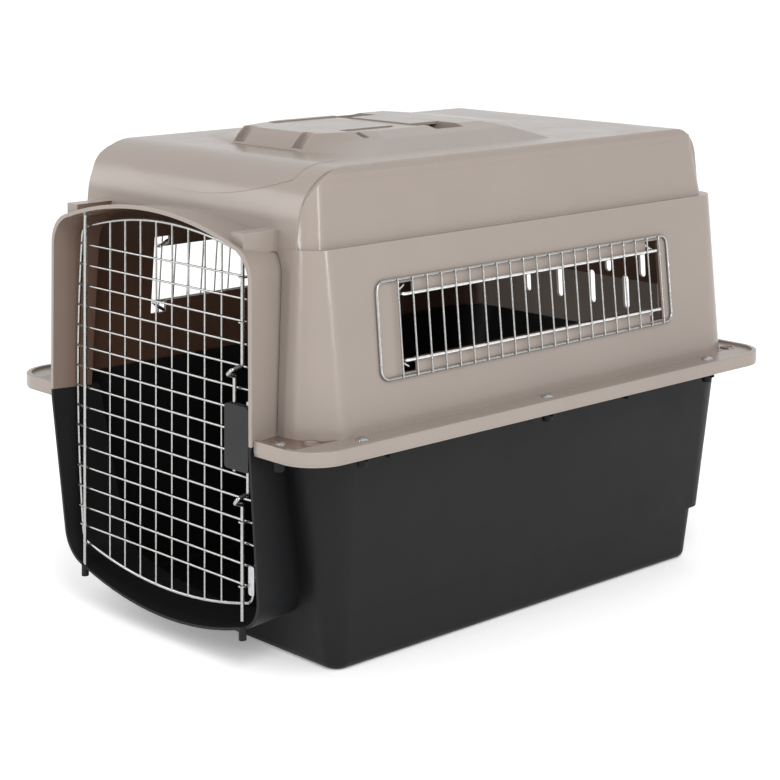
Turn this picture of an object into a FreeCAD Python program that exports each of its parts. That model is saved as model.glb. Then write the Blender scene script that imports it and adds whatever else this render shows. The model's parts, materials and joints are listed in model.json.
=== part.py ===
"""Two-shell pet transport carrier: taupe top, black tub, wire door and side grilles.

X runs across the carrier, Y from the door (-Y) to the back, Z up. The origin is on the floor,
under the middle of the overall length and width. All sizes are in millimetres.
"""
import FreeCAD, Part
import math
import os
from types import SimpleNamespace

import Sketcher

Vector = FreeCAD.Vector
Rotation = FreeCAD.Rotation

# ---------------------------------------------------------------- driving sizes

DRIVING_SIZES = {
    # rim where the two shells meet
    "rim_width": 571.5, "rim_length": 802.0, "rim_corner": 47.0, "rim_back": 403.0,
    "skirt_bottom": 254.0, "skirt_height": 16.5, "skirt_wall": 3.6, "skirt_lip": 3.2,
    "channel_depth": 3.0, "channel_land": 6.0, "rim_plate": 3.4, "rim_gap": 0.4,
    # plastic walls
    "wall": 3.2, "floor_wall": 3.6,
    # top shell, walls below the shoulder line
    "top_foot_half": 245.5, "top_foot_front": -358.0, "top_foot_back": 381.0, "top_foot_corner": 55.0,
    "shoulder_height": 472.5, "shoulder_half": 226.0, "shoulder_front": -347.0,
    "shoulder_back": 367.0, "shoulder_corner": 31.0,
    # top shell above the shoulder line
    "band_half": 218.0, "band_inset": 2.4, "band_back": 355.0, "band_corner": 25.0,
    "roof_half": 207.0, "roof_height": 560.0, "roof_lean": 5.5, "roof_back_lean": 8.0,
    "roof_front_round": 66.0, "roof_back_round": 40.0, "roof_edge_round": 11.0,
    "panel_step": 1.8, "panel_front_half": 199.0, "panel_roof_half": 202.0,
    "dish_half": 166.0, "dish_sag": 27.0, "dish_step": 0.45,
    # raised plateau on the roof: foot, fold and top outlines
    "plateau_height": 20.0, "plateau_end": 66.0, "plateau_foot_side": 160.0,
    "plateau_foot_front": -223.0, "plateau_foot_back": 143.0,
    "plateau_foot_side_front": -190.0, "plateau_foot_side_back": 110.0,
    "fold_height": 13.0, "fold_side": 120.0, "fold_front": -211.5, "fold_back": 131.0,
    "fold_side_front": -135.0, "fold_side_back": 80.0,
    "plateau_side": 90.0, "plateau_front": -203.0, "plateau_back": 62.0,
    "plateau_side_front": -128.0, "plateau_side_back": 55.0,
    # U-shaped carrying handle that lies in a recess of the plateau
    "pivot_along": -140.0, "pivot_drop": 6.0, "pivot_radius": 3.0, "handle_front": -146.0,
    "handle_back": -36.0, "handle_outer": 80.0, "handle_inner": 58.0, "handle_bar": 25.0,
    "handle_thick": 9.0, "handle_gap": 2.0, "handle_recess": 16.0,
    # tunnel that frames the door
    "lip_front": -403.0, "lip_half": 191.5, "lip_apex": 504.0, "arch_round": 530.0,
    "tunnel_corner": 38.0, "neck_half": 173.0, "neck_apex": 497.0, "neck_back": -322.0,
    "hood_lean": 0.4, "lip_bead": 1.2, "sill_low": 27.5, "sill_round": 500.0,
    "sill_neck_low": 31.0, "sill_neck_half": 171.0, "tunnel_lean": 0.8, "sill_front": -385.0,
    # base tub
    "tub_half": 241.0, "tub_front": -350.0, "tub_back": 379.0, "tub_corner": 55.0,
    "kick_height": 65.0, "kick_upper_half": 222.5, "kick_upper_front": -312.5, "kick_upper_back": 342.0,
    "kick_half": 220.5, "kick_front": -311.5, "kick_back": 331.0, "kick_corner": 26.0,
    "bottom_half": 215.5, "bottom_front": -301.0, "bottom_back": 317.0, "bottom_corner": 18.0,
    "bottom_round": 9.0,
    # door
    "rod_across": 151.0, "rod_radius": 2.3, "door_plane": -378.0, "wire_radius": 1.25,
    "frame_radius": 1.9, "door_end_half": 161.6, "door_mid_half": 174.8, "door_widest": 285.0,
    "door_top": 484.5, "door_top_end": 461.0, "door_bottom": 60.8, "door_bottom_end": 82.0,
    "door_row_top": 441.4, "door_pitch": 24.25, "door_top_pitch": 24.95,
    "door_low_pitch": 22.4, "door_column_pitch": 30.6,
    # latch
    "latch_across": 153.0, "hinge_reach": 3.4, "latch_reach": 4.9, "upper_jog": -13.7,
    "lower_jog": 10.0, "loop_reach": 13.0,
    "cover_low": 229.0, "cover_high": 300.5, "cover_left": -23.0, "cover_right": 18.5,
    "cover_front": 7.5, "screw_across": -1.5,
    # side grilles
    "grille_front": -255.5, "grille_back": 251.5, "grille_low": 321.0, "grille_high": 430.0,
    "grille_pitch": 22.9, "grille_frame_radius": 1.9, "grille_wire_radius": 1.1,
    "grille_bar_radius": 2.2, "vent_front": -221.0, "vent_back": 236.0,
    "vent_low": 340.0, "vent_high": 413.0,
    # fasteners
    "bolt_radius": 2.9, "bolt_hole": 3.4, "bolt_length": 24.0, "nut_height": 22.0,
    "tie_hole": 7.4, "tie_ring": 1.9, "tie_across": 466.0, "tie_along": 730.0, "tie_middle": 13.0,
}

document = FreeCAD.newDocument("pet_carrier")
sheet = document.addObject("Spreadsheet::Sheet", "Sizes")


class Size:
    """A length together with the spreadsheet formula that gives it."""

    def __init__(self, value, formula=None):
        self.value = float(value)
        self.formula = formula if formula else "({:g})".format(value)

    def __add__(self, other):
        other = as_size(other)
        return Size(self.value + other.value, "(" + self.formula + " + " + other.formula + ")")

    def __sub__(self, other):
        other = as_size(other)
        return Size(self.value - other.value, "(" + self.formula + " - " + other.formula + ")")

    def __mul__(self, other):
        other = as_size(other)
        return Size(self.value * other.value, "(" + self.formula + " * " + other.formula + ")")

    def __truediv__(self, other):
        other = as_size(other)
        return Size(self.value / other.value, "(" + self.formula + " / " + other.formula + ")")

    def __neg__(self):
        return Size(-self.value, "(-1 * " + self.formula + ")")

    def __radd__(self, other):
        return as_size(other) + self

    def __rsub__(self, other):
        return as_size(other) - self

    def __rmul__(self, other):
        return as_size(other) * self

    def __float__(self):
        return self.value


def as_size(number):
    return number if isinstance(number, Size) else Size(number)


def fill_sheet():
    """Write every driving size to its own row and return them by name."""
    sizes = SimpleNamespace()
    for row, (name, value) in enumerate(DRIVING_SIZES.items(), start=1):
        sheet.set("A{}".format(row), name)
        sheet.set("B{}".format(row), str(value))
        sheet.setAlias("B{}".format(row), name)
        setattr(sizes, name, Size(value, "Sizes." + name))
    document.recompute()
    return sizes


mm = fill_sheet()

# ---------------------------------------------------------------- building blocks

PLANE_ROTATIONS = {
    "XY": Rotation(),
    "XZ": Rotation(Vector(1, 0, 0), 90),
    "YZ": Rotation(Vector(1, 1, 1), 120),
}
PLANE_OFFSETS = {"XY": "z", "XZ": "y", "YZ": "x"}
count = {"made": 0}


def new_name(word):
    count["made"] += 1
    return "{}_{:03d}".format(word, count["made"])


def add(kind, word):
    return document.addObject(kind, new_name(word))


def bind(item, prop, size):
    item.setExpression(prop, as_size(size).formula)


def place(item, x=0, y=0, z=0, rotation=None):
    """Put an object at a formula-bound position."""
    spot = Vector(float(as_size(x)), float(as_size(y)), float(as_size(z)))
    item.Placement = FreeCAD.Placement(spot, rotation or Rotation())
    bind(item, "Placement.Base.x", x)
    bind(item, "Placement.Base.y", y)
    bind(item, "Placement.Base.z", z)


def new_sketch(plane, offset):
    """A sketch parallel to an origin plane, at a bound distance along the plane's own axis."""
    sketch = add("Sketcher::SketchObject", "sketch")
    spot = {"x": 0, "y": 0, "z": 0}
    spot[PLANE_OFFSETS[plane]] = offset
    place(sketch, spot["x"], spot["y"], spot["z"], PLANE_ROTATIONS[plane])
    return sketch


def pin_point(sketch, geometry, end, x, y):
    """Fix one point of a sketch at bound coordinates."""
    for kind, size in (("DistanceX", as_size(x)), ("DistanceY", as_size(y))):
        index = sketch.addConstraint(Sketcher.Constraint(kind, -1, 1, geometry, end, size.value))
        sketch.setExpression("Constraints[{}]".format(index), size.formula)


def set_radius(sketch, geometry, radius):
    radius = as_size(radius)
    index = sketch.addConstraint(Sketcher.Constraint("Radius", geometry, radius.value))
    sketch.setExpression("Constraints[{}]".format(index), radius.formula)


def corner_points(before, corner, after, radius):
    """Ends and middle of the round that joins two straight edges at a corner."""
    back = (before - corner).normalize()
    ahead = (after - corner).normalize()
    half = back.getAngle(ahead) / 2
    reach = radius / math.tan(half)
    middle_way = (back + ahead).normalize()
    centre = corner + middle_way * (radius / math.sin(half))
    return corner + back * reach, centre - middle_way * radius, corner + ahead * reach


def rounded_polygon(sketch, corners):
    """Closed outline of straight edges; each corner is (x, y, radius or None)."""
    spots = [Vector(float(as_size(x)), float(as_size(y)), 0) for x, y, radius in corners]
    total = len(corners)
    rounds = []
    for number, (x, y, radius) in enumerate(corners):
        if radius is None:
            rounds.append((spots[number], None, spots[number]))
        else:
            before, after = spots[number - 1], spots[(number + 1) % total]
            rounds.append(corner_points(before, spots[number], after, float(as_size(radius))))
    edges = []
    for number in range(total):
        start = rounds[number][2]
        end = rounds[(number + 1) % total][0]
        edges.append(sketch.addGeometry(Part.LineSegment(start, end), False))
    for number, (x, y, radius) in enumerate(corners):
        edge_in, edge_out = edges[number - 1], edges[number]
        if radius is None:
            sketch.addConstraint(Sketcher.Constraint("Coincident", edge_in, 2, edge_out, 1))
            pin_point(sketch, edge_out, 1, x, y)
            continue
        start, middle, end = rounds[number]
        arc = sketch.addGeometry(Part.Arc(start, middle, end), False)
        turns_left = (start - middle).cross(end - middle).z < 0
        first, last = (1, 2) if turns_left else (2, 1)
        sketch.addConstraint(Sketcher.Constraint("Tangent", edge_in, 2, arc, first))
        sketch.addConstraint(Sketcher.Constraint("Tangent", edge_out, 1, arc, last))
        set_radius(sketch, arc, radius)
        corner = sketch.addGeometry(Part.Point(spots[number]), True)
        pin_point(sketch, corner, 1, x, y)
        sketch.addConstraint(Sketcher.Constraint("PointOnObject", corner, 1, edge_in))
        sketch.addConstraint(Sketcher.Constraint("PointOnObject", corner, 1, edge_out))


def rectangle(plane, offset, left, right, low, high, radius=None):
    sketch = new_sketch(plane, offset)
    rounded_polygon(sketch, [(left, low, radius), (right, low, radius), (right, high, radius),
                             (left, high, radius)])
    return sketch


def polygon(plane, offset, corners):
    sketch = new_sketch(plane, offset)
    rounded_polygon(sketch, corners)
    return sketch


def loft(*sketches):
    item = add("Part::Loft", "loft")
    item.Sections = list(sketches)
    item.Solid = True
    item.Ruled = True
    return item


def extrude(sketch, length, direction):
    item = add("Part::Extrusion", "extrusion")
    item.Base = sketch
    item.DirMode = "Custom"
    item.Dir = direction
    item.Solid = True
    bind(item, "LengthFwd", length)
    return item


def box(left, right, front, back, low, high):
    item = add("Part::Box", "box")
    bind(item, "Length", as_size(right) - left)
    bind(item, "Width", as_size(back) - front)
    bind(item, "Height", as_size(high) - low)
    place(item, left, front, low)
    return item


AXES = {
    "X": Rotation(Vector(0, 1, 0), 90),
    "Y": Rotation(Vector(1, 0, 0), -90),
    "Z": Rotation(),
}


def cylinder(x, y, z, radius, length, axis="Z"):
    item = add("Part::Cylinder", "cylinder")
    bind(item, "Radius", radius)
    bind(item, "Height", length)
    place(item, x, y, z, AXES[axis])
    return item


def fuse(*items):
    item = add("Part::MultiFuse", "fusion")
    item.Shapes = list(items)
    item.Refine = True
    return item


def cut(base, *tools):
    item = add("Part::Cut", "cut")
    item.Base = base
    item.Tool = tools[0] if len(tools) == 1 else group(*tools)
    item.Refine = True
    return item


def common(base, tool):
    item = add("Part::Common", "common")
    item.Base = base
    item.Tool = tool
    return item


def group(*items):
    """Several solids that make one piece, or one set of equal pieces."""
    item = add("Part::Compound", "group")
    item.Links = list(items)
    return item


def mirror(source):
    """The same shape on the other side of the carrier's middle plane."""
    item = add("Part::Mirroring", "mirror")
    item.Source = source
    item.Base = Vector(0, 0, 0)
    item.Normal = Vector(1, 0, 0)
    return item


def name_part(item, label):
    item.Label = label
    return item


def solid_feature(shape, label):
    item = add("Part::Feature", "solid")
    item.Shape = shape
    item.Placement = FreeCAD.Placement()
    item.Label = label
    return item


def round_edges(item, radius, wanted):
    """Fillet the edges for which wanted(edge) is true."""
    document.recompute()
    chosen = []
    for number, edge in enumerate(item.Shape.Edges, start=1):
        if wanted(edge):
            chosen.append((number, float(as_size(radius)), float(as_size(radius))))
    result = add("Part::Fillet", "fillet")
    result.Base = item
    result.Edges = chosen
    return result


def bent_wire(points, bend, radius, closed=False):
    """A round wire along straight runs joined by bends of one radius."""
    spots = [Vector(*point) for point in points]
    total = len(spots)
    edges = []
    cursor = None
    first = None
    inner = range(total) if closed else range(1, total - 1)
    rounds = {}
    for number in inner:
        before, corner, after = spots[number - 1], spots[number], spots[(number + 1) % total]
        rounds[number] = corner_points(before, corner, after, bend)
    for number in range(total):
        if number in rounds:
            start, middle, end = rounds[number]
            if cursor is not None:
                edges.append(Part.LineSegment(cursor, start).toShape())
            else:
                first = start
            edges.append(Part.Arc(start, middle, end).toShape())
            cursor = end
        elif cursor is None:
            cursor = spots[number]
        else:
            edges.append(Part.LineSegment(cursor, spots[number]).toShape())
            cursor = spots[number]
    if closed:
        edges.append(Part.LineSegment(cursor, first).toShape())
    path = Part.Wire(Part.__sortEdges__(edges))
    return sweep(path, radius)


def sweep(path, radius):
    """Run a circle along a path; the solid is closed at both ends."""
    start = path.Edges[0]
    point = start.valueAt(start.FirstParameter)
    along = start.tangentAt(start.FirstParameter)
    circle = Part.Wire([Part.Circle(point, along, radius).toShape()])
    return path.makePipeShell([circle], True, True)


# ---------------------------------------------------------------- outlines shared by both shells


def tunnel_outline(y, half, apex, arch, upright, lean):
    """Arched outline of the door tunnel at one depth; upright is 1 above the rim, -1 below."""
    half, apex, arch, lean = as_size(half), as_size(apex), as_size(arch), as_size(lean)
    corner = mm.tunnel_corner
    base = rim_split()
    sketch = new_sketch("XZ", y)
    slope = math.tan(math.radians(lean.value))
    tilt = math.radians(lean.value)
    rise = upright * (apex.value - base.value)
    arch_centre = rise - arch.value
    inner = arch.value - corner.value
    centre_up = rise - corner.value
    for repeat in range(40):
        centre_out = half.value - centre_up * slope - corner.value / math.cos(tilt)
        centre_up = arch_centre + math.sqrt(inner ** 2 - centre_out ** 2)

    def at(across, up):
        return Vector(across, base.value + upright * up, 0)

    side = (centre_out + corner.value * math.cos(tilt), centre_up + corner.value * math.sin(tilt))
    reach = arch.value / inner
    top = (centre_out * reach, arch_centre + (centre_up - arch_centre) * reach)
    bend = math.atan2(side[1] - centre_up, side[0] - centre_out)
    bend = (bend + math.atan2(top[1] - centre_up, top[0] - centre_out)) / 2
    middle = (centre_out + corner.value * math.cos(bend), centre_up + corner.value * math.sin(bend))
    floor_edge = Part.LineSegment(at(-half.value, 0), at(half.value, 0))
    right = Part.LineSegment(at(half.value, 0), at(*side))
    right_round = Part.Arc(at(*side), at(*middle), at(*top))
    crown = Part.Arc(at(*top), at(0, rise), at(-top[0], top[1]))
    left_round = Part.Arc(at(-top[0], top[1]), at(-middle[0], middle[1]), at(-side[0], side[1]))
    left = Part.LineSegment(at(-side[0], side[1]), at(-half.value, 0))
    sketch.addGeometry([floor_edge, right, right_round, crown, left_round, left], False)
    first, last = (1, 2) if upright > 0 else (2, 1)
    chain = ((0, 2, 1, 1, "Coincident"), (1, 2, 2, first, "Tangent"), (2, last, 3, first, "Tangent"),
             (3, last, 4, first, "Tangent"), (4, last, 5, 1, "Tangent"), (5, 2, 0, 1, "Coincident"))
    for edge, end, following, start, kind in chain:
        sketch.addConstraint(Sketcher.Constraint(kind, edge, end, following, start))
    pin_point(sketch, 0, 2, half, base)
    pin_point(sketch, 0, 1, -half, base)
    set_radius(sketch, 2, corner)
    set_radius(sketch, 4, corner)
    set_radius(sketch, 3, arch)
    sketch.addConstraint(Sketcher.Constraint("PointOnObject", 3, 3, -2))
    centre = apex - arch * upright
    index = sketch.addConstraint(Sketcher.Constraint("DistanceY", -1, 1, 3, 3, centre.value))
    sketch.setExpression("Constraints[{}]".format(index), centre.formula)
    return sketch


def rim_split():
    """Height where the two rim plates face each other."""
    return mm.skirt_bottom + mm.skirt_height - mm.channel_depth - mm.rim_plate - mm.rim_gap / 2


def rim_outline(z, inset):
    """Rounded rectangle that follows the outer edge of the rim, a little inside it."""
    half = mm.rim_width / 2 - inset
    front = mm.rim_back - mm.rim_length + inset
    return rectangle("XY", z, -half, half, front, mm.rim_back - inset, mm.rim_corner - inset)


def wall_outline(z, half, front, back, corner, inset=0):
    """Rounded rectangle of a shell wall at one height."""
    half = as_size(half) - inset
    return rectangle("XY", z, -half, half, as_size(front) + inset, as_size(back) - inset,
                     as_size(corner) - inset)


def roof_profile(inset):
    """Side view of the upper half of the top shell: leaning ends with large rounds to the roof."""
    base = mm.shoulder_height - 6
    top = mm.roof_height - inset
    rise = top.value - base.value
    front = mm.shoulder_front + inset
    back = mm.band_back + mm.panel_step - inset
    front_shift = rise * math.tan(math.radians(mm.roof_lean.value))
    back_shift = rise * math.tan(math.radians(mm.roof_back_lean.value))
    front_top = front + front_shift
    back_top = back - back_shift
    return [(front, base, None), (back, base, None),
            (back_top, top, mm.roof_back_round - inset), (front_top, top, mm.roof_front_round - inset)]


# ---------------------------------------------------------------- top shell


def top_wall_form(inset):
    """Walls and roof as one closed form, each face moved in by the inset."""
    foot = rim_split() if not inset else rim_split() - 20
    lower = loft(
        wall_outline(foot, mm.top_foot_half, mm.top_foot_front, mm.top_foot_back,
                     mm.top_foot_corner, inset),
        wall_outline(mm.shoulder_height - inset, mm.shoulder_half, mm.shoulder_front,
                     mm.shoulder_back, mm.shoulder_corner, inset))
    band_front = mm.shoulder_front + mm.band_inset
    rise = mm.roof_height.value - mm.shoulder_height.value
    band = loft(
        wall_outline(mm.shoulder_height - inset, mm.band_half, band_front, mm.band_back,
                     mm.band_corner, inset),
        wall_outline(mm.roof_height, mm.roof_half,
                     band_front + rise * math.tan(math.radians(mm.roof_lean.value)),
                     mm.band_back - rise * math.tan(math.radians(mm.roof_back_lean.value)),
                     mm.band_corner - 3, inset))
    low_roof = extrude(polygon("YZ", -300, roof_profile(inset + mm.panel_step)), 600, Vector(1, 0, 0))
    band = common(band, low_roof)
    edge = mm.roof_edge_round
    outside = mm.roof_half + 30
    roof = mm.roof_height - mm.panel_step - inset
    corner = polygon("XZ", 420, [(mm.roof_half - inset - edge, roof + 0.5, None),
                                 (mm.roof_half - inset - edge * 0.45, roof - edge * 0.16, None),
                                 (mm.roof_half - inset + 0.1, roof - edge * 0.62, None),
                                 (mm.roof_half - inset + 1.9, roof - edge * 1.35, None),
                                 (outside, roof - edge * 1.35, None), (outside, roof + 0.5, None)])
    band = cut(band, round_corner_tool(corner), mirror(round_corner_tool(corner)))
    return fuse(lower, band)


def round_corner_tool(sketch):
    return extrude(sketch, 840, Vector(0, -1, 0))


def raised_panel():
    """Front and roof strip that stands a little proud of the side bands."""
    body = extrude(polygon("YZ", -mm.panel_roof_half, roof_profile(0)), mm.panel_roof_half * 2,
                   Vector(1, 0, 0))
    hug = extrude(wall_outline(mm.shoulder_height - 8, mm.shoulder_half, mm.shoulder_front,
                               mm.shoulder_back, mm.shoulder_corner), 110, Vector(0, 0, 1))
    low = mm.shoulder_height
    bend = mm.roof_height - 58
    high = mm.roof_height + 4
    wedge = extrude(polygon("XZ", -200, [(mm.panel_front_half, low, 8.0),
                                         (mm.panel_front_half + 60, low, None),
                                         (mm.panel_roof_half + 47, high, None),
                                         (mm.panel_roof_half, high, None),
                                         (mm.panel_front_half, bend, 30.0)]), 220, Vector(0, -1, 0))
    return cut(common(body, hug), wedge, mirror(wedge))


def roof_dish():
    """Very shallow step with a sagging lower edge across the front of the roof."""
    raised = extrude(polygon("YZ", -mm.dish_half, roof_profile(-mm.dish_step)), mm.dish_half * 2,
                     Vector(1, 0, 0))
    sketch = new_sketch("XZ", -180)
    low = mm.roof_height - 42
    high = low + mm.dish_sag
    over = mm.roof_height + 12
    half = mm.dish_half
    arc = Part.Arc(Vector(-half.value, high.value, 0), Vector(0, low.value, 0),
                   Vector(half.value, high.value, 0))
    curve = sketch.addGeometry(arc, False)
    right = sketch.addGeometry(Part.LineSegment(Vector(half.value, high.value, 0),
                                                Vector(half.value, over.value, 0)), False)
    top = sketch.addGeometry(Part.LineSegment(Vector(half.value, over.value, 0),
                                              Vector(-half.value, over.value, 0)), False)
    left = sketch.addGeometry(Part.LineSegment(Vector(-half.value, over.value, 0),
                                               Vector(-half.value, high.value, 0)), False)
    first, last = (1, 2) if sketch.Geometry[curve].StartPoint.x < 0 else (2, 1)
    for one, end, other, start in ((curve, last, right, 1), (right, 2, top, 1), (top, 2, left, 1),
                                   (left, 2, curve, first)):
        sketch.addConstraint(Sketcher.Constraint("Coincident", one, end, other, start))
    pin_point(sketch, right, 1, half, high)
    pin_point(sketch, top, 1, half, over)
    pin_point(sketch, left, 1, -half, over)
    pin_point(sketch, left, 2, -half, high)
    set_radius(sketch, curve, (half * half + mm.dish_sag * mm.dish_sag) / (mm.dish_sag * 2))
    front_view = extrude(sketch, 180, Vector(0, -1, 0))
    plan_view = extrude(rectangle("XY", 480, -half, half, -400, -236, 40), 120, Vector(0, 0, 1))
    return common(common(raised, front_view), plan_view)


def plateau_outline(z, end, side, front, back, side_front, side_back, inset):
    """Eight-cornered outline: narrow at the front and back, wider along the sides."""
    end, side = end - inset, side - inset
    front, back = front + inset, back - inset
    corners = [(-end, front), (end, front), (side, side_front), (side, side_back), (end, back),
               (-end, back), (-side, side_back), (-side, side_front)]
    return polygon("XY", z, [(x, y, None) for x, y in corners])


def roof_plateau(inset):
    """Faceted raised part of the roof that carries the handle."""
    roof = mm.roof_height
    foot = (mm.plateau_end, mm.plateau_foot_side, mm.plateau_foot_front, mm.plateau_foot_back,
            mm.plateau_foot_side_front, mm.plateau_foot_side_back)
    fold = (mm.plateau_end, mm.fold_side, mm.fold_front, mm.fold_back, mm.fold_side_front,
            mm.fold_side_back)
    top = (mm.plateau_end, mm.plateau_side, mm.plateau_front, mm.plateau_back,
           mm.plateau_side_front, mm.plateau_side_back)
    root = roof - 4 - as_size(inset) * 2
    return loft(plateau_outline(root, *foot, inset),
                plateau_outline(roof - as_size(inset) * 0.9, *foot, inset),
                plateau_outline(roof + mm.fold_height - inset, *fold, inset),
                plateau_outline(roof + mm.plateau_height - inset, *top, inset))


def handle_recess(grow):
    """U-shaped recess that the handle lies in."""
    floor = mm.roof_height + mm.plateau_height - mm.handle_recess - grow
    gap = mm.handle_gap + grow
    front = mm.handle_front - gap - 8
    outer, inner = mm.handle_outer + gap, mm.handle_inner - gap
    back, bar_front = mm.handle_back + gap, mm.handle_back - mm.handle_bar - gap
    plan = polygon("XY", floor, [(-outer, front, None), (-inner, front, None),
                                 (-inner, bar_front, 6.0 - grow), (inner, bar_front, 6.0 - grow),
                                 (inner, front, None), (outer, front, None),
                                 (outer, back, None), (-outer, back, None)])
    return extrude(plan, mm.handle_recess + 10 + grow, Vector(0, 0, 1))


def finger_pockets(grow):
    """Open-sided pockets behind the handle, undercut towards the middle, and a notch by each pivot."""
    top = mm.roof_height + mm.plateau_height
    low = top - 8 - grow
    front, back = mm.handle_back - grow, 12 + as_size(grow)
    notch = box(56 - grow, 104, front, back, low, top + 6)
    under = box(24 - grow, 58, front, back, low, top + 6 if grow else top - 3.4)
    by_pivot = box(mm.handle_outer - grow, 104, mm.handle_front - 9 - grow, mm.handle_front - 1 + grow,
                   top - 6 - grow, top + 6)
    return notch, under, by_pivot, mirror(notch), mirror(under), mirror(by_pivot)


def pivot_height():
    return mm.roof_height + mm.plateau_height - mm.pivot_drop


def pivot_bores():
    """Bores for the handle's pins."""
    bore = cylinder(mm.handle_outer - 2, mm.pivot_along, pivot_height(), mm.pivot_radius + 0.4, 14, "X")
    return bore, mirror(bore)


def hood_form(inset):
    """Upper half of the tunnel around the door; it widens towards the lip."""
    lip = tunnel_outline(mm.lip_front - as_size(inset) * 0.5, mm.lip_half - inset, mm.lip_apex - inset,
                         mm.arch_round, 1, mm.hood_lean)
    neck = tunnel_outline(mm.neck_back, mm.neck_half - inset, mm.neck_apex - inset, mm.arch_round, 1,
                          mm.hood_lean)
    return loft(lip, neck)


def hood_lip():
    """Bead round the front edge of the hood."""
    bead = mm.lip_bead
    outline = tunnel_outline(mm.lip_front, mm.lip_half + bead, mm.lip_apex + bead, mm.arch_round, 1,
                             mm.hood_lean)
    return extrude(outline, 1.6, Vector(0, 1, 0))


def hood_groove():
    """Narrow groove in the front wall all along the side of the hood."""
    band = cut(hood_form(-1.3), hood_form(0), top_wall_form(1.7))
    return common(band, box(-200, 200, -366, -336, rim_split() + 6, mm.shoulder_height - 4))


def hood_blocks():
    """Square bosses over the hood corners that hold the tops of the door rods."""
    block = box(mm.rod_across - 3, mm.rod_across + 18, -395, -335, 440, 492)
    return block, mirror(block)


def top_rim():
    """Flat rim with a raised outer edge and a skirt that hangs over the tub's rim."""
    low = mm.skirt_bottom
    high = low + mm.skirt_height
    slab = extrude(rim_outline(low + mm.skirt_lip, 0), mm.skirt_height - mm.skirt_lip, Vector(0, 0, 1))
    top_height = high.value
    slab = round_edges(slab, 1.3, lambda edge: edge.BoundBox.ZMin > top_height - 0.1)
    lip = extrude(rim_outline(low, 0.8), mm.skirt_lip + 2, Vector(0, 0, 1))
    channel = extrude(rim_outline(high - mm.channel_depth, mm.channel_land), 20, Vector(0, 0, 1))
    recess_top = rim_split() + mm.rim_gap / 2
    recess = extrude(rim_outline(low - 5, mm.skirt_wall), recess_top - low + 5, Vector(0, 0, 1))
    doorway = box(-mm.lip_half - 0.6, mm.lip_half + 0.6, -410, -340, low - 5, recess_top)
    return cut(fuse(slab, lip), channel, recess, doorway)


def rim_spots():
    """Places of the rim bolts."""
    right = [(212, -380), (260, -301.5), (260, -3.5), (260, 300.5)]
    return right + [(-across, along) for across, along in right]


def tie_spots():
    across, along, middle = mm.tie_across / 2, mm.tie_along / 2, mm.tie_middle
    return [(across, middle - along), (across, middle + along), (-across, middle - along),
            (-across, middle + along)]


def grille_openings():
    """Long opening in each side wall with notches for the grille hooks."""
    front, back = mm.vent_front, mm.vent_back
    low, high = mm.vent_low, mm.vent_high
    slot = box(205, 275, front + 14, back - 14, low, high)
    ends = box(205, 275, front, back, low - 15, high + 12)
    middle_top = box(200, 280, front + 24, back - 24, high, high + 20)
    middle_low = box(200, 280, front + 24, back - 24, low - 20, low)
    opening = fuse(slot, cut(ends, middle_top, middle_low))
    return opening, mirror(opening)


def rear_vents():
    """Two staggered rows of upright rounded slots in the back wall."""
    slots = []
    for number in range(9):
        low = 344 if number % 2 else 296
        slots.append(upright_slot((number - 4) * 31, low, 46))
    return group(*slots)


def upright_slot(across, low, height):
    sketch = rectangle("XZ", 400, across - 5.5, across + 5.5, low, as_size(low) + height, 5.2)
    return extrude(sketch, 70, Vector(0, -1, 0))


def strap_recesses(grow):
    """Two wedge-shaped recesses in the front face of the plateau."""
    low, high = mm.roof_height + 2.5, mm.roof_height + mm.plateau_height + 4
    front = mm.plateau_foot_front
    side = polygon("YZ", 45 - grow, [(front - 8, low - grow, None), (front + 14 + grow, low - grow, None),
                                     (front + 30 + grow, high, None), (front - 8, high, None)])
    recess = extrude(side, 19 + 2 * grow, Vector(1, 0, 0))
    return recess, mirror(recess)


def plateau_seam():
    """Shallow groove along the foot of the plateau's front face."""
    front = mm.plateau_foot_front
    return box(-60, 60, front - 1.6, front + 0.4, mm.roof_height - 1.6, mm.roof_height + 1)


def grip_dots():
    """Row of small round studs in front of the plateau."""
    front = mm.plateau_foot_front - 8
    return [cylinder(12.5 * (number - 4.5), front, mm.roof_height - 3, 2.2, 3.6) for number in range(10)]


def make_top_shell():
    plateau = cut(roof_plateau(0), handle_recess(0), *finger_pockets(0), *strap_recesses(0))
    outer = fuse(top_wall_form(0), raised_panel(), roof_dish(), plateau, top_rim(), hood_form(0),
                 hood_lip(), *hood_blocks(), *grip_dots())
    outer = cut(outer, hood_groove(), plateau_seam())
    inner_plateau = cut(roof_plateau(mm.wall), handle_recess(mm.wall), *finger_pockets(mm.wall),
                        *strap_recesses(mm.wall))
    inner = fuse(top_wall_form(mm.wall), inner_plateau)
    shell = cut(outer, inner)
    shell = cut(shell, hood_form(mm.wall), *pivot_bores())
    holes = [cylinder(-mm.rod_across, hinge_plane(), 440, mm.rod_radius + 0.35, 49),
             cylinder(mm.latch_across, latch_plane(), 440, mm.rod_radius + 0.35, 49)]
    holes += [cylinder(side * (mm.rod_across - 9), hinge_plane(), 450, 1.9, 60) for side in (-1, 1)]
    holes += [cylinder(x, y, 240, mm.bolt_hole, 40) for x, y in rim_spots()]
    rings = [tie_ring(x, y) for x, y in tie_spots()]
    holes += [cylinder(x, y, 240, mm.tie_hole, 40) for x, y in tie_spots()]
    openings = list(grille_openings()) + [rear_vents()]
    shell = fuse(shell, *rings)
    shell = cut(shell, group(*holes), *openings)
    return name_part(shell, "top_shell")


def tie_ring(x, y):
    return cylinder(x, y, rim_split() + mm.rim_gap, mm.tie_hole + mm.tie_ring, mm.rim_plate + 1.0)


# ---------------------------------------------------------------- base tub


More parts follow.
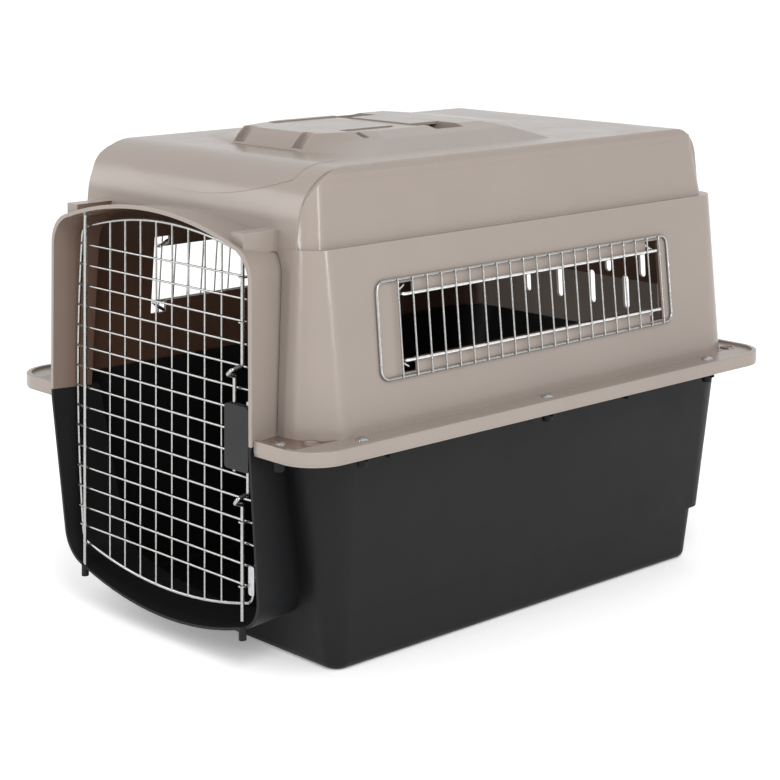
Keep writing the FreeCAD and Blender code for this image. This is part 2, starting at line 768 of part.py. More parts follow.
def tub_form(inset):
    top = rim_split() - mm.rim_gap / 2 if not inset else rim_split() + 20
    floor = as_size(0) if not inset else mm.floor_wall
    upper = loft(
        wall_outline(mm.kick_height + inset, mm.kick_upper_half, mm.kick_upper_front,
                     mm.kick_upper_back, mm.kick_corner, inset),
        wall_outline(top, mm.tub_half, mm.tub_front, mm.tub_back, mm.tub_corner, inset))
    lower = loft(
        wall_outline(floor, mm.bottom_half, mm.bottom_front, mm.bottom_back, mm.bottom_corner, inset),
        wall_outline(mm.kick_height + inset, mm.kick_half, mm.kick_front, mm.kick_back,
                     mm.kick_corner, inset))
    rounding = mm.bottom_round - inset
    document.recompute()
    floor_height = floor.value
    lower = round_edges(lower, rounding, lambda edge: edge.BoundBox.ZMax < floor_height + 0.1)
    return fuse(lower, upper)


def sill_form(inset):
    """Lower half of the tunnel; its lip leans back towards the sill."""
    lip = tunnel_outline(mm.lip_front - as_size(inset) * 0.5, mm.lip_half - inset, mm.sill_low + inset,
                         mm.sill_round, -1, mm.tunnel_lean)
    neck = tunnel_outline(-300, mm.sill_neck_half - inset, mm.sill_neck_low + inset, mm.sill_round, -1,
                          mm.tunnel_lean)
    form = loft(lip, neck)
    lean_cut = extrude(polygon("YZ", -300, [(mm.lip_front - 30, 20, None),
                                            (mm.sill_front + 5, 20, None),
                                            (mm.lip_front - 0.4, rim_split() - 6, None),
                                            (mm.lip_front - 30, rim_split() - 6, None)]),
                       600, Vector(1, 0, 0))
    return cut(form, lean_cut) if not inset else form


def sill_bosses():
    """Round bosses under the sill that take the lower ends of the door rods."""
    return [cylinder(-mm.rod_across, hinge_plane(), 41, mm.rod_radius + 2.1, 45),
            cylinder(mm.latch_across, latch_plane(), 41, mm.rod_radius + 2.1, 45)]


def tub_rim():
    """Flat rim that sits inside the top shell's skirt, stiffened by strips under its sides."""
    top = rim_split() - mm.rim_gap / 2
    inset = mm.skirt_wall + 0.8
    return extrude(rim_outline(top - mm.rim_plate, inset), mm.rim_plate, Vector(0, 0, 1))


def grip_strips():
    """Ribbed strips under the side rims, between the wing nuts."""
    strips = []
    low = rim_split() - 19
    high = rim_split() - 1
    for front, back in ((-272, -192), (130, 286)):
        strips.append(box(234, 272, front, back, high - 6, high))
        for number in range(int((back - front) / 9)):
            start = front + 3 + number * 9
            strips.append(box(236, 270, start, start + 3.5, low + 5, high))
        strips.append(box(262, 272, front, front + 16, low, high))
    return strips


def make_base_shell():
    strips = grip_strips()
    outer = fuse(tub_form(0), sill_form(0), tub_rim(), *strips, *[mirror(strip) for strip in strips],
                 *sill_bosses())
    shell = cut(outer, tub_form(mm.wall))
    shell = cut(shell, sill_form(mm.wall))
    holes = [cylinder(-mm.rod_across, hinge_plane(), 45, mm.rod_radius + 0.35, 50),
             cylinder(mm.latch_across, latch_plane(), 45, mm.rod_radius + 0.35, 50)]
    holes += [cylinder(x, y, 220, mm.bolt_hole, 60) for x, y in rim_spots()]
    holes += [cylinder(x, y, 220, mm.tie_hole, 60) for x, y in tie_spots()]
    shell = cut(shell, group(*holes))
    return name_part(shell, "base_shell")


# ---------------------------------------------------------------- carrying handle


def make_carry_handle():
    """U-shaped bail that lies flush in the roof and swings up on two pins."""
    thick = mm.handle_thick
    low = pivot_height() - thick / 2
    inner, outer = mm.handle_inner, mm.handle_outer
    front, back, bar_front = mm.handle_front, mm.handle_back, mm.handle_back - mm.handle_bar
    plan = polygon("XY", low, [(-outer, front, 6.0), (-inner, front, 6.0), (-inner, bar_front, 8.0),
                               (inner, bar_front, 8.0), (inner, front, 6.0), (outer, front, 6.0),
                               (outer, back, 14.0), (-outer, back, 14.0)])
    body = extrude(plan, thick, Vector(0, 0, 1))
    top_height = (low + thick).value
    bail = round_edges(body, 2.2, lambda edge: edge.BoundBox.ZMin > top_height - 0.1)
    pins = [cylinder(side * (outer + 3.5) - 4.5, mm.pivot_along, pivot_height(), mm.pivot_radius, 9, "X")
            for side in (-1, 1)]
    return name_part(fuse(bail, *pins), "carry_handle")


# ---------------------------------------------------------------- door


def frame_half(z):
    """Half width of the bowed door frame at one height."""
    reach = mm.door_widest.value - mm.door_bottom_end.value
    bow = mm.door_mid_half.value - mm.door_end_half.value
    return mm.door_mid_half.value - bow * ((z - mm.door_widest.value) / reach) ** 2


def frame_top(x):
    drop = mm.door_top.value - mm.door_top_end.value
    return mm.door_top.value - drop * (x / mm.door_end_half.value) ** 2


def frame_bottom(x):
    rise = mm.door_bottom_end.value - mm.door_bottom.value
    return mm.door_bottom.value + rise * (x / mm.door_end_half.value) ** 2


def frame_plane():
    return mm.door_plane.value + mm.wire_radius.value + mm.frame_radius.value - 0.3


def bowed_edges(sides):
    """Join four arcs, each given by three points, with smooth corners."""
    arcs = [Part.Arc(*[Vector(*point) for point in side]).toShape() for side in sides]
    edges = []
    for number, arc in enumerate(arcs):
        following = arcs[(number + 1) % len(arcs)]
        end, start = arc.valueAt(arc.LastParameter), following.valueAt(following.FirstParameter)
        along = arc.tangentAt(arc.LastParameter)
        back = following.tangentAt(following.FirstParameter)
        gap = start - end
        reach = gap.cross(back).dot(along.cross(back)) / along.cross(back).Length ** 2
        corner = Part.BezierCurve()
        corner.setPoles([end, end + along * reach, start])
        edges += [arc, corner.toShape()]
    return edges


def make_door_frame():
    """Closed wire hoop: arched top, sagging bottom and bowed sides."""
    y = frame_plane()
    corner = 11.0
    high = mm.door_top_end.value - corner
    low = mm.door_bottom_end.value + corner
    middle = (high + low) / 2
    across = frame_half(high) - corner
    low_across = frame_half(low) - corner
    sides = [
        [(-across, y, frame_top(across)), (0, y, frame_top(0)), (across, y, frame_top(across))],
        [(frame_half(high), y, high), (frame_half(middle), y, middle), (frame_half(low), y, low)],
        [(low_across, y, frame_bottom(low_across)), (0, y, frame_bottom(0)),
         (-low_across, y, frame_bottom(low_across))],
        [(-frame_half(low), y, low), (-frame_half(middle), y, middle), (-frame_half(high), y, high)],
    ]
    path = Part.Wire(bowed_edges(sides))
    return solid_feature(sweep(path, mm.frame_radius.value), "door_frame_wire")


def row_height(number):
    """Height of a horizontal wire, counted from the top; the rows are wider near the top."""
    upper, lowest = min(number, 5), max(number - 13, 0)
    middle = number - upper - lowest
    return (mm.door_row_top - mm.door_top_pitch * upper - mm.door_pitch * middle
            - mm.door_low_pitch * lowest)


def make_horizontal_wires():
    wires = []
    for number in range(15):
        z = row_height(number)
        half = min(frame_half(z.value), mm.door_end_half.value + 12)
        wires.append(cylinder(-half, mm.door_plane, z, mm.wire_radius, 2 * half, "X"))
    return name_part(group(*wires), "door_horizontal_wires")


def make_vertical_wires():
    wires = []
    for number in range(8):
        x = mm.door_column_pitch * (number - 3.5)
        low, high = frame_bottom(x.value), frame_top(x.value)
        wires.append(cylinder(x, mm.door_plane + mm.wire_radius * 2 - 0.25, low, mm.wire_radius, high - low))
    return name_part(group(*wires), "door_vertical_wires")


def hinge_plane():
    return mm.door_plane - mm.hinge_reach


def latch_plane():
    return mm.door_plane - mm.latch_reach


def make_hinge_rod():
    rod = cylinder(-mm.rod_across, hinge_plane(), 46.5, mm.rod_radius, 439.5)
    return name_part(rod, "door_hinge_rod")


def finger_loop(x, jog, top, drop):
    """Bends of a rod that steps sideways and reaches forward for a finger."""
    y = latch_plane().value
    front = y - mm.loop_reach.value
    return [(x, y, top), (x + jog * 0.25, front, top - drop * 0.3),
            (x + jog * 0.75, front, top - drop * 0.7), (x + jog, y, top - drop)]


def make_upper_rod():
    """Latch rod with a finger loop that runs up into the hood."""
    x, y, jog = mm.latch_across.value, latch_plane().value, mm.upper_jog.value
    points = [(x, y, 465)] + finger_loop(x, jog, 344, 14) + [(x + jog, y, mm.cover_low.value - 4)]
    return solid_feature(bent_wire(points, 3.0, mm.rod_radius.value), "latch_upper_rod")


def make_lower_rod():
    """Latch rod with a finger loop that runs down into the sill."""
    x, y, jog = mm.latch_across.value, latch_plane().value, mm.lower_jog.value
    points = [(x + jog, y, mm.cover_high.value + 5)] + finger_loop(x + jog, -jog, 204, 14) + [(x, y, 62)]
    return solid_feature(bent_wire(points, 3.0, mm.rod_radius.value), "latch_lower_rod")


def make_rod_guides():
    """Small wire eyes, welded to the mesh, that the latch rods slide through."""
    radius = 1.1
    x, y = mm.latch_across.value, latch_plane().value
    eye = mm.rod_radius.value + radius + 0.25
    guides = []
    for row in (0, 2, 11, 14):
        z = row_height(row).value
        points = [(x - eye, mm.door_plane.value, z), (x - eye, y - eye, z), (x + eye, y - eye, z),
                  (x + eye, mm.door_plane.value, z)]
        guides.append(bent_wire(points, eye - 0.4, radius))
    return solid_feature(Part.makeCompound(guides), "door_rod_guides")


# ---------------------------------------------------------------- latch


def cover_span():
    return mm.latch_across + mm.cover_left, mm.latch_across + mm.cover_right


def make_latch_cover():
    """Dark cover plate in front of the rods, with folded edges."""
    left, right = cover_span()
    low, high = mm.cover_low, mm.cover_high
    front = latch_plane() - mm.cover_front
    plate = extrude(rectangle("XZ", front + 9.5, left, right, low, high, 4), 9.5, Vector(0, -1, 0))
    hollow = extrude(rectangle("XZ", front + 12, left + 2, right - 2, low + 2, high - 2, 2.5),
                     10.0, Vector(0, -1, 0))
    slots = [box(mm.latch_across + jog - 3, mm.latch_across + jog + 3, front + 2.5, front + 12,
                 low - 2, high + 2) for jog in (mm.upper_jog, mm.lower_jog)]
    return name_part(cut(plate, hollow, *slots), "latch_cover")


def make_latch_back_plate():
    """Plate behind the mesh that the cover is screwed to."""
    left, right = cover_span()
    back = mm.door_plane + 3.9
    plate = extrude(rectangle("XZ", back + 2, left, right, mm.cover_low + 4, mm.cover_high - 4, 4), 2,
                    Vector(0, -1, 0))
    holes = [cylinder(x, back - 5, z, 1.7, 12, "Y") for x, z in latch_screw_spots()]
    return name_part(cut(plate, group(*holes)), "latch_back_plate")


def latch_screw_spots():
    x = mm.latch_across + mm.screw_across
    return [(x, 250), (x, 275)]


def make_latch_screws():
    screws = []
    for x, z in latch_screw_spots():
        start = latch_plane() - mm.cover_front + 1.2
        shank = cylinder(x, start, z, 1.5, mm.door_plane + 6.4 - start, "Y")
        head = cylinder(x, mm.door_plane + 6.0, z, 3.2, 1.6, "Y")
        screws.append(fuse(shank, head))
    return name_part(group(*screws), "latch_screws")


def coil(x, y, low, high, turns, radius, wire):
    helix = Part.makeHelix((high - low) / turns, high - low, radius)
    helix.Placement = FreeCAD.Placement(Vector(x, y, low), Rotation())
    path = Part.Wire(helix.Edges)
    return sweep(path, wire)


def make_upper_spring():
    x = mm.latch_across.value + mm.upper_jog.value
    return solid_feature(coil(x, latch_plane().value, 238.0, 286.0, 9, 3.0, 0.45), "latch_upper_spring")


def make_lower_spring():
    x = mm.latch_across.value + mm.lower_jog.value
    return solid_feature(coil(x, latch_plane().value, 243.0, 291.0, 9, 3.0, 0.45), "latch_lower_spring")


def make_corner_plate():
    """Small zinc clip on the door frame beside the lower rod."""
    x = frame_half(105)
    y = mm.door_plane - mm.wire_radius - 1.2
    plate = extrude(rectangle("XZ", y + 1.2, x - 4.5, x + 5.5, 92, 124, 3), 1.2, Vector(0, -1, 0))
    return name_part(plate, "door_corner_clip")


# ---------------------------------------------------------------- side grilles


def wall_lean():
    rise = mm.shoulder_height.value - rim_split().value
    return math.degrees(math.atan((mm.top_foot_half.value - mm.shoulder_half.value) / rise))


def wall_half(z):
    share = (z - rim_split().value) / (mm.shoulder_height.value - rim_split().value)
    return mm.top_foot_half.value + (mm.shoulder_half.value - mm.top_foot_half.value) * share


def grille_placement():
    """The grille's own axes: x out of the wall, y along the carrier, z up the leaning wall."""
    return FreeCAD.Placement(Vector(wall_half(375.5), 0, 375.5), Rotation(Vector(0, 1, 0), -wall_lean()))


def grille_piece(shape, label):
    shape = shape.copy()
    shape.Placement = grille_placement()
    right = add("Part::Feature", "grille")
    right.Shape = shape
    right.Label = "right_" + label
    left = mirror(right)
    left.Label = "left_" + label
    return right, left


def make_grille_frames():
    radius = mm.grille_frame_radius.value
    front, back = mm.grille_front.value, mm.grille_back.value
    half = (mm.grille_high.value - mm.grille_low.value) / 2
    out = radius + 0.4
    points = [(out, front, -half), (out, back, -half), (out, back, half), (out, front, half)]
    return grille_piece(bent_wire(points, 11.0, radius, closed=True), "grille_frame")


def make_grille_wires():
    frame_radius, radius = mm.grille_frame_radius.value, mm.grille_wire_radius.value
    half = (mm.grille_high.value - mm.grille_low.value) / 2
    middle = (mm.grille_front.value + mm.grille_back.value) / 2 + 6
    out = 0.4 + 2 * frame_radius + radius - 0.3
    wires = []
    for number in range(21):
        along = middle + (number - 10) * mm.grille_pitch.value
        wires.append(Part.makeCylinder(radius, 2 * half + 2, Vector(out, along, -half - 1)))
    return grille_piece(Part.makeCompound(wires), "grille_wires")


def make_grille_bars():
    """Two heavier bars whose hooked ends pass through the wall and hold the grille on."""
    radius = mm.grille_bar_radius.value
    out = radius + 0.4
    front, back = mm.vent_front.value + 5, mm.vent_back.value - 5
    bars = []
    for height, way in ((37.0, 1), (-37.0, -1)):
        points = [(-9.5, front + 12, height + way * 9), (-9.5, front, height + way * 2),
                  (out, front, height), (out, back, height), (-9.5, back, height + way * 2),
                  (-9.5, back - 12, height + way * 9)]
        bars.append(bent_wire(points, 3.2, radius))
    return grille_piece(Part.makeCompound(bars), "grille_bars")


# ---------------------------------------------------------------- rim fasteners


def make_rim_bolts():
    """Eight domed bolts that hold the shells together."""
    bolts = []
    seat = rim_split() + mm.rim_gap / 2 + mm.rim_plate
    for x, y in rim_spots():
        ball = 11.0
        dome = Part.makeSphere(ball)
        cap = dome.common(Part.makeBox(30, 30, 3.2, Vector(-15, -15, ball - 3.2)))
        cap.translate(Vector(x, y, seat.value + 0.6 - (ball - 3.2)))
        rim = Part.makeCylinder(cap_radius(ball, 3.2), 0.6, Vector(x, y, seat.value))
        length = mm.bolt_length.value
        shank = Part.makeCylinder(mm.bolt_radius.value, length, Vector(x, y, seat.value - length))
        bolts.append(cap.fuse(rim).fuse(shank).removeSplitter())
    return solid_feature(Part.makeCompound(bolts), "rim_bolts")


def cap_radius(ball, height):
    return math.sqrt(ball ** 2 - (ball - height) ** 2)


def make_wing_nuts():
    """Eight closed black wing nuts under the tub's rim."""
    nuts = []
    seat = (rim_split() - mm.rim_gap / 2 - mm.rim_plate).value - 0.1
    height = mm.nut_height.value
    for x, y in rim_spots():
        post = Part.makeCone(6.0, 7.2, height, Vector(x, y, seat - height))
        post = post.makeFillet(1.4, [edge for edge in post.Edges if edge.BoundBox.ZMax < seat - height + 0.1])
        flange = Part.makeCylinder(9.0, 2.4, Vector(x, y, seat - 2.4))
        wing = Part.makeBox(22, 3.6, 11, Vector(x - 11, y - 1.8, seat - 15))
        wing = wing.makeFillet(1.5, [edge for edge in wing.Edges if edge.BoundBox.YLength > 3])
        nut = post.fuse([flange, wing])
        nut = nut.cut(Part.makeCylinder(mm.bolt_radius.value + 0.3, height, Vector(x, y, seat - height + 2.4)))
        nuts.append(nut.removeSplitter())
    return solid_feature(Part.makeCompound(nuts), "wing_nuts")


# ---------------------------------------------------------------- build and write

PIECES = [
    make_base_shell, make_top_shell, make_carry_handle, make_door_frame, make_horizontal_wires,
    make_vertical_wires, make_hinge_rod, make_upper_rod, make_lower_rod, make_rod_guides,
    make_latch_cover, make_latch_back_plate, make_latch_screws, make_upper_spring,
    make_lower_spring, make_corner_plate, make_grille_frames, make_grille_wires,
    make_grille_bars, make_rim_bolts, make_wing_nuts,
]


def check_document():
    document.recompute()
    for item in document.Objects:
        if "Invalid" in item.State or "Error" in item.State:
            raise RuntimeError("{} ({}) failed: {}".format(item.Label, item.Name, item.State))


def write_parts(pieces):
    os.makedirs("parts", exist_ok=True)
    for piece in pieces:
        if piece.Shape.isNull() or not piece.Shape.isValid():
            raise RuntimeError(piece.Label + " has no valid shape")
        piece.Shape.exportStep("parts/" + piece.Label + ".step")
        print(piece.Label, len(piece.Shape.Solids), "solids", round(piece.Shape.Volume / 1000, 1), "cm3")


def main():
    pieces = []
    for make in PIECES:
        made = make()
        pieces += made if isinstance(made, tuple) else [made]
    check_document()
    write_parts(pieces)


main()
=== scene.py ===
import json
import math

import bmesh
import bpy
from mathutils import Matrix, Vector


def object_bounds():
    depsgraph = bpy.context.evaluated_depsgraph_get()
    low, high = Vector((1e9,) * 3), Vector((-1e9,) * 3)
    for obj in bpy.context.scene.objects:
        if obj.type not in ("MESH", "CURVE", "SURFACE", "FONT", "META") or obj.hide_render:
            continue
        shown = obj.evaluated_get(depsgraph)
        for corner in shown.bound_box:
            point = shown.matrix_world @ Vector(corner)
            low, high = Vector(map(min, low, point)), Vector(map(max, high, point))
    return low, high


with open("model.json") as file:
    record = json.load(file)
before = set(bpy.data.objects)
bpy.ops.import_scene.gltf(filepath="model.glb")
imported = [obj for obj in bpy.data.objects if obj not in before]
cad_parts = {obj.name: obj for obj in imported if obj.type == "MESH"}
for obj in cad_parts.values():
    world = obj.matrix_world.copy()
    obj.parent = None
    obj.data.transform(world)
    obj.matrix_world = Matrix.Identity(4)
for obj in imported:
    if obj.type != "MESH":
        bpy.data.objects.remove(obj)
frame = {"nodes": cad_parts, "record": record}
cad_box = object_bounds()
nodes = frame["nodes"]

# ---------------------------------------------------------------- sizes, in metres unless a comment says more

# The part of the top shell whose inner faces get painted shade (dark brown), from the door plane to the back
# wall.
CABIN_MIDDLE = (0.0, 0.0, 0.38)
CABIN_HALF, CABIN_FRONT, CABIN_BACK, CABIN_TOP = 0.243, -0.346, 0.372, 0.556
HOOD_FRONT = cad_box[0].y

# Width of a worn edge, and the angle between faces from which an edge is drawn sharp.
WORN_EDGE = 0.0016
SHARP_EDGE = math.radians(28)

# Half the floor's width, its gap below the tub, and its number of squares each way.
FLOOR_HALF = 60.0
FLOOR_GAP = 0.0005
FLOOR_SQUARES = 8

# Sensor and lens are in millimetres; the shift is a share of the picture's width.
CAMERA_PLACE = (1.9222, -1.8157, 0.8388)
CAMERA_TURN = math.radians(46.9)
CAMERA_SENSOR, CAMERA_LENS = 36.0, 94.97
LENS_SHIFT = -0.6064

# Name, place, target, width and height, power in watts.
LIGHTS = (
    ("key", (2.6, -1.6, 2.6), (0.0, 0.0, 0.3), (1.6, 1.6), 60),
    ("fill", (-2.6, -2.4, 1.8), (0.0, 0.0, 0.3), (1.8, 1.8), 25),
    ("front_strip", (0.1, -3.0, 0.75), (0.2, -0.3, 0.5), (0.11, 0.9), 13),
    ("side_strip", (3.0, 0.25, 0.75), (0.2, -0.3, 0.5), (0.11, 0.9), 13),
)

# Strength of the white room on the carrier, and as a backdrop.
ROOM_LIGHT, BACKDROP_LIGHT = 0.9, 1.1

# ---------------------------------------------------------------- texture scales, in cycles per metre

COLOUR_DRIFT, SMUDGES, FLOW_MARKS, SPECKLE, MOULD_GRAIN = 7.0, 18.0, 22.0, 260.0, 1400.0
DULL_PATCHES, MOTTLING, DRAWN_LINES = 150.0, 420.0, 900.0
FLOOR_DRIFT = 3.0

# ---------------------------------------------------------------- colours

TAUPE, TAUPE_WORN = (0.262, 0.222, 0.194), (0.43, 0.38, 0.34)
# Painted shade: the inside of the top shell is the same taupe plastic, coloured dark brown here to stand for
# the shade inside the carrier.
TAUPE_PAINTED_SHADE = (0.115, 0.062, 0.041)
BLACK, BLACK_WORN = (0.009, 0.0092, 0.010), (0.035, 0.035, 0.037)
GREY, GREY_WORN = (0.013, 0.0133, 0.0136), (0.07, 0.07, 0.07)
DOOR_ZINC, BAR_ZINC, FASTENER_ZINC = (0.44, 0.44, 0.43), (0.86, 0.86, 0.85), (0.55, 0.56, 0.57)
WHITE = (1.0, 1.0, 1.0, 1.0)

# Brightness of the darker patches, how strongly worn edges change, and how much painted shade the hood's
# inner faces get at the hood's front.
PLASTIC_DRIFT, ZINC_DRIFT = 0.955, 0.72
WEAR, HOOD_SHADE = 0.5, 0.5

# ---------------------------------------------------------------- material helpers


def new_material(name):
    """An empty node material; returns the material, its node tree and its surface shader."""
    material = bpy.data.materials.new(name)
    material.use_nodes = True
    tree = material.node_tree
    shader = tree.nodes["Principled BSDF"]
    return material, tree, shader


def add_node(tree, kind, **settings):
    """A new shader node with the given settings."""
    node = tree.nodes.new(kind)
    for key, value in settings.items():
        setattr(node, key, value)
    return node


def link(tree, source, output, target, entry):
    """Join a named output of one node to a named input of another."""
    tree.links.new(source.outputs[output], target.inputs[entry])


def noise(tree, scale, detail=3.0, roughness=0.5, stretch=None):
    """Noise in object space, in cycles per metre; stretch scales it along each axis."""
    place = add_node(tree, "ShaderNodeTexCoord")
    texture = add_node(tree, "ShaderNodeTexNoise")
    texture.inputs["Scale"].default_value = scale
    texture.inputs["Detail"].default_value = detail
    texture.inputs["Roughness"].default_value = roughness
    if stretch:
        mapping = add_node(tree, "ShaderNodeMapping")
        mapping.inputs["Scale"].default_value = stretch
        link(tree, place, "Object", mapping, "Vector")
        link(tree, mapping, "Vector", texture, "Vector")
    else:
        link(tree, place, "Object", texture, "Vector")
    return texture


def ramp(tree, source, low, high, start=0.0, end=1.0):
    """Map a factor between two colours or two grey levels."""
    node = add_node(tree, "ShaderNodeValToRGB")
    stops = node.color_ramp.elements
    stops[0].position, stops[1].position = start, end
    stops[0].color = (*low, 1.0) if isinstance(low, tuple) else (low, low, low, 1.0)
    stops[1].color = (*high, 1.0) if isinstance(high, tuple) else (high, high, high, 1.0)
    tree.links.new(source, node.inputs["Fac"])
    return node


def bump(tree, shader, height, strength, distance, after=None):
    """Fine relief on the shader, on top of an earlier one if given."""
    node = add_node(tree, "ShaderNodeBump")
    node.inputs["Strength"].default_value = strength
    node.inputs["Distance"].default_value = distance
    tree.links.new(height, node.inputs["Height"])
    if after:
        link(tree, after, "Normal", node, "Normal")
    link(tree, node, "Normal", shader, "Normal")
    return node


def edge_wear(tree):
    """0 on flat faces, near 1 along sharp edges."""
    bevel = add_node(tree, "ShaderNodeBevel", samples=4)
    bevel.inputs["Radius"].default_value = WORN_EDGE
    shape = add_node(tree, "ShaderNodeNewGeometry")
    dot = add_node(tree, "ShaderNodeVectorMath", operation="DOT_PRODUCT")
    link(tree, bevel, "Normal", dot, 0)
    link(tree, shape, "Normal", dot, 1)
    return ramp(tree, dot.outputs["Value"], low=1.0, high=0.0, start=0.80, end=0.995)


def mix_colour(tree, factor, low, high):
    """Blend two colours; each is plain or comes from another node."""
    node = add_node(tree, "ShaderNodeMix", data_type="RGBA")
    tree.links.new(factor, node.inputs[0])
    colour_a, colour_b, colour_result = 6, 7, 2
    for source, entry in ((low, colour_a), (high, colour_b)):
        if isinstance(source, tuple):
            node.inputs[entry].default_value = (*source, 1.0)
        else:
            tree.links.new(source, node.inputs[entry])
    return node.outputs[colour_result]


def calculate(tree, operation, first, second=0.0):
    """One step of arithmetic on an output and on a number or another output."""
    node = add_node(tree, "ShaderNodeMath", operation=operation)
    tree.links.new(first, node.inputs[0])
    if isinstance(second, float):
        node.inputs[1].default_value = second
    else:
        tree.links.new(second, node.inputs[1])
    return node.outputs[0]


def painted_shade_mask(tree):
    """Painted shade mask: 1 on the faces that look into the carrier, less towards the hood's front, 0 on the
    outside.
    """
    place = add_node(tree, "ShaderNodeTexCoord")
    shape = add_node(tree, "ShaderNodeNewGeometry")
    from_middle = add_node(tree, "ShaderNodeVectorMath", operation="SUBTRACT")
    link(tree, place, "Object", from_middle, 0)
    from_middle.inputs[1].default_value = CABIN_MIDDLE
    facing = add_node(tree, "ShaderNodeVectorMath", operation="DOT_PRODUCT")
    link(tree, from_middle, "Vector", facing, 0)
    link(tree, shape, "Normal", facing, 1)
    mask = calculate(tree, "LESS_THAN", facing.outputs["Value"], 0.0)
    axes = add_node(tree, "ShaderNodeSeparateXYZ")
    link(tree, place, "Object", axes, 0)
    across = calculate(tree, "ABSOLUTE", axes.outputs["X"])
    for source, limit in ((across, CABIN_HALF), (axes.outputs["Y"], CABIN_BACK),
                          (axes.outputs["Z"], CABIN_TOP)):
        mask = calculate(tree, "MULTIPLY", mask, calculate(tree, "LESS_THAN", source, limit))
    deeper = add_node(tree, "ShaderNodeMapRange")
    link(tree, axes, "Y", deeper, "Value")
    deeper.inputs["From Min"].default_value = HOOD_FRONT
    deeper.inputs["From Max"].default_value = CABIN_FRONT
    deeper.inputs["To Min"].default_value = HOOD_SHADE
    return calculate(tree, "MULTIPLY", mask, deeper.outputs["Result"])


# ---------------------------------------------------------------- materials


def moulded_plastic(name, colour, worn, roughness, grain, shine, cabin_shade=None):
    """Injection-moulded plastic: fine grain, slow colour drift, paler worn edges, and painted shade on the
    faces that look into the carrier.
    """
    material, tree, shader = new_material(name)
    drift = noise(tree, COLOUR_DRIFT, detail=4.0)
    dark = tuple(channel * PLASTIC_DRIFT for channel in colour)
    base = ramp(tree, drift.outputs["Fac"], dark, colour, start=0.35, end=0.65)
    speckle = noise(tree, SPECKLE)
    patchy = calculate(tree, "MULTIPLY", edge_wear(tree).outputs["Color"], speckle.outputs["Fac"])
    wear = calculate(tree, "MULTIPLY", patchy, WEAR)
    surface = mix_colour(tree, wear, base.outputs["Color"], worn)
    # Painted shade: faces that look into the carrier blend towards a dark brown that stands for the shade
    # there.
    if cabin_shade:
        surface = mix_colour(tree, painted_shade_mask(tree), surface, cabin_shade)
    tree.links.new(surface, shader.inputs["Base Color"])
    smudge = noise(tree, SMUDGES, detail=5.0, roughness=0.6)
    rough = ramp(tree, smudge.outputs["Fac"], *roughness, start=0.3, end=0.7)
    link(tree, rough, "Color", shader, "Roughness")
    texture = noise(tree, MOULD_GRAIN, detail=2.0)
    first = bump(tree, shader, texture.outputs["Fac"], strength=grain, distance=0.0002)
    flow = noise(tree, FLOW_MARKS, detail=2.0)
    bump(tree, shader, flow.outputs["Fac"], strength=0.06, distance=0.002, after=first)
    shader.inputs["Specular IOR Level"].default_value = shine
    return material


def plated_wire(name, colour, roughness):
    """Zinc-plated steel: drawn lines, slight mottling and duller patches."""
    material, tree, shader = new_material(name)
    mottled = noise(tree, MOTTLING, detail=4.0, roughness=0.6)
    dull = tuple(channel * ZINC_DRIFT for channel in colour)
    tone = ramp(tree, mottled.outputs["Fac"], dull, colour, start=0.3, end=0.62)
    link(tree, tone, "Color", shader, "Base Color")
    shader.inputs["Metallic"].default_value = 1.0
    spots = noise(tree, DULL_PATCHES)
    rough = ramp(tree, spots.outputs["Fac"], *roughness, start=0.35, end=0.7)
    link(tree, rough, "Color", shader, "Roughness")
    drawn = noise(tree, DRAWN_LINES, detail=2.0, stretch=(1.0, 1.0, 0.06))
    bump(tree, shader, drawn.outputs["Fac"], strength=0.06, distance=0.0001)
    return material


taupe = moulded_plastic("taupe_plastic", TAUPE, TAUPE_WORN, roughness=(0.20, 0.27), grain=0.02,
                        shine=0.5, cabin_shade=TAUPE_PAINTED_SHADE)
black = moulded_plastic("black_plastic", BLACK, BLACK_WORN, roughness=(0.42, 0.52), grain=0.05,
                        shine=0.15)
grey = moulded_plastic("latch_plastic", GREY, GREY_WORN, roughness=(0.42, 0.55), grain=0.10,
                       shine=0.25)
wire = plated_wire("door_wire", DOOR_ZINC, roughness=(0.18, 0.30))
bright = plated_wire("bright_bar", BAR_ZINC, roughness=(0.14, 0.26))
steel = plated_wire("fastener_steel", FASTENER_ZINC, roughness=(0.24, 0.42))

FINISHES = {
    "top_plastic": taupe, "base_plastic": black, "nut_plastic": black, "latch_plastic": grey,
    "zinc_wire": wire, "grille_wire": wire, "grille_bar": bright, "fastener_steel": steel,
    "spring_steel": steel,
}


def dress_cad_nodes():
    """Give every CAD node the material of its slot, with soft shading across shallow edges."""
    for entry in frame["record"]["subparts"]:
        piece = nodes[entry["node"]]
        piece.data.materials.clear()
        piece.data.materials.append(FINISHES[entry["material_slot"]])
        piece.data.shade_smooth()
        piece.data.set_sharp_from_angle(angle=SHARP_EDGE)


dress_cad_nodes()

# ---------------------------------------------------------------- stage, light and camera


def make_floor():
    """Plain white floor, wide enough to hide its far edge."""
    mesh = bpy.data.meshes.new("floor")
    shape = bmesh.new()
    bmesh.ops.create_grid(shape, x_segments=FLOOR_SQUARES, y_segments=FLOOR_SQUARES, size=FLOOR_HALF)
    shape.to_mesh(mesh)
    shape.free()
    floor = bpy.data.objects.new("floor", mesh)
    bpy.context.scene.collection.objects.link(floor)
    floor.location.z = cad_box[0].z - FLOOR_GAP
    material, tree, shader = new_material("pale_floor")
    tone = ramp(tree, noise(tree, FLOOR_DRIFT).outputs["Fac"], low=0.94, high=0.96)
    link(tree, tone, "Color", shader, "Base Color")
    link(tree, tone, "Color", shader, "Emission Color")
    shader.inputs["Emission Strength"].default_value = 0.22
    shader.inputs["Roughness"].default_value = 0.7
    shader.inputs["Specular IOR Level"].default_value = 0.1
    floor.data.materials.append(material)


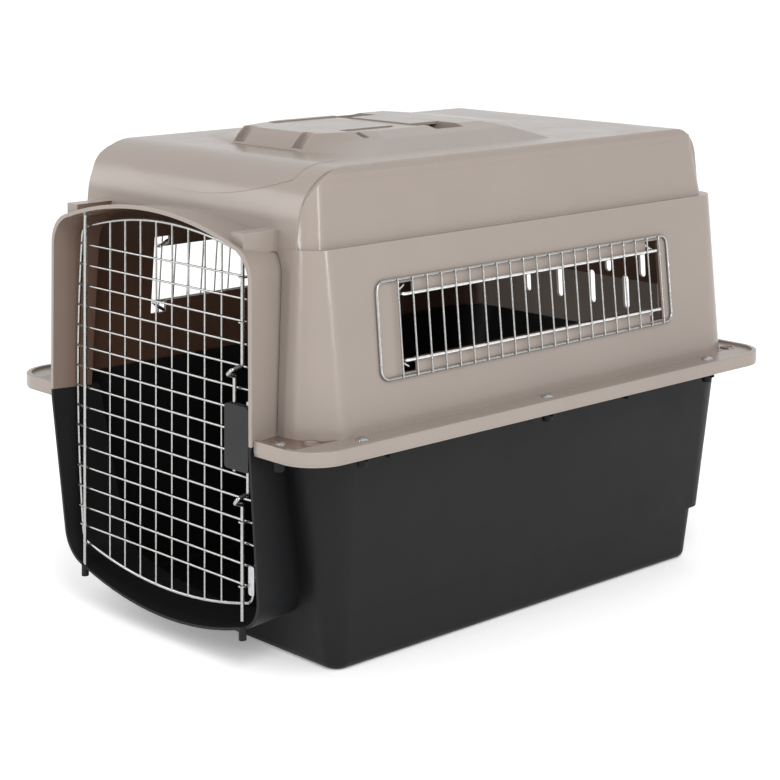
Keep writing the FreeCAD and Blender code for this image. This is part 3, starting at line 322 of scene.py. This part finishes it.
def area_light(name, place, target, size, power):
    """A rectangular lamp turned towards its target."""
    light = bpy.data.lights.new(name, "AREA")
    light.shape = "RECTANGLE"
    light.size, light.size_y = size
    light.energy = power
    lamp = bpy.data.objects.new(name, light)
    bpy.context.scene.collection.objects.link(lamp)
    lamp.location = place
    lamp.rotation_euler = (Vector(target) - Vector(place)).to_track_quat("-Z", "Y").to_euler()


def make_lights():
    """White room with two soft lamps and two upright strips that shine on the rounded corners."""
    world = bpy.data.worlds.new("studio")
    bpy.context.scene.world = world
    world.use_nodes = True
    tree = world.node_tree
    background = tree.nodes["Background"]
    background.inputs["Color"].default_value = WHITE
    strength = add_node(tree, "ShaderNodeMapRange")
    link(tree, add_node(tree, "ShaderNodeLightPath"), "Is Camera Ray", strength, "Value")
    strength.inputs["To Min"].default_value = ROOM_LIGHT
    strength.inputs["To Max"].default_value = BACKDROP_LIGHT
    link(tree, strength, "Result", background, "Strength")
    for light in LIGHTS:
        area_light(*light)


def make_camera():
    """Level camera with a lowered lens shift, so that upright edges stay parallel in the picture."""
    camera = bpy.data.cameras.new("camera")
    camera.sensor_width = CAMERA_SENSOR
    camera.lens = CAMERA_LENS
    holder = bpy.data.objects.new("camera", camera)
    bpy.context.scene.collection.objects.link(holder)
    holder.location = CAMERA_PLACE
    holder.rotation_mode = "XYZ"
    holder.rotation_euler = (math.radians(90), 0, CAMERA_TURN)
    bpy.context.scene.camera = holder
    shift_lens(holder, LENS_SHIFT)


def shift_lens(holder, amount):
    """Shift the lens while the camera has its own angles; a view that turns it sees it unshifted."""
    curve = holder.data.driver_add("shift_y")
    for modifier in list(curve.modifiers):
        curve.modifiers.remove(modifier)
    curve.driver.type = "SUM"
    mode = curve.driver.variables.new()
    mode.type = "SINGLE_PROP"
    mode.targets[0].id = holder
    mode.targets[0].data_path = "rotation_mode"
    quaternion, euler = 0, 1
    for place, value in ((quaternion, 0.0), (euler, amount)):
        key = curve.keyframe_points.insert(place, value)
        key.interpolation = "CONSTANT"
    curve.extrapolation = "CONSTANT"


make_floor()
make_lights()
make_camera()
bpy.context.scene.view_settings.view_transform = "Standard"
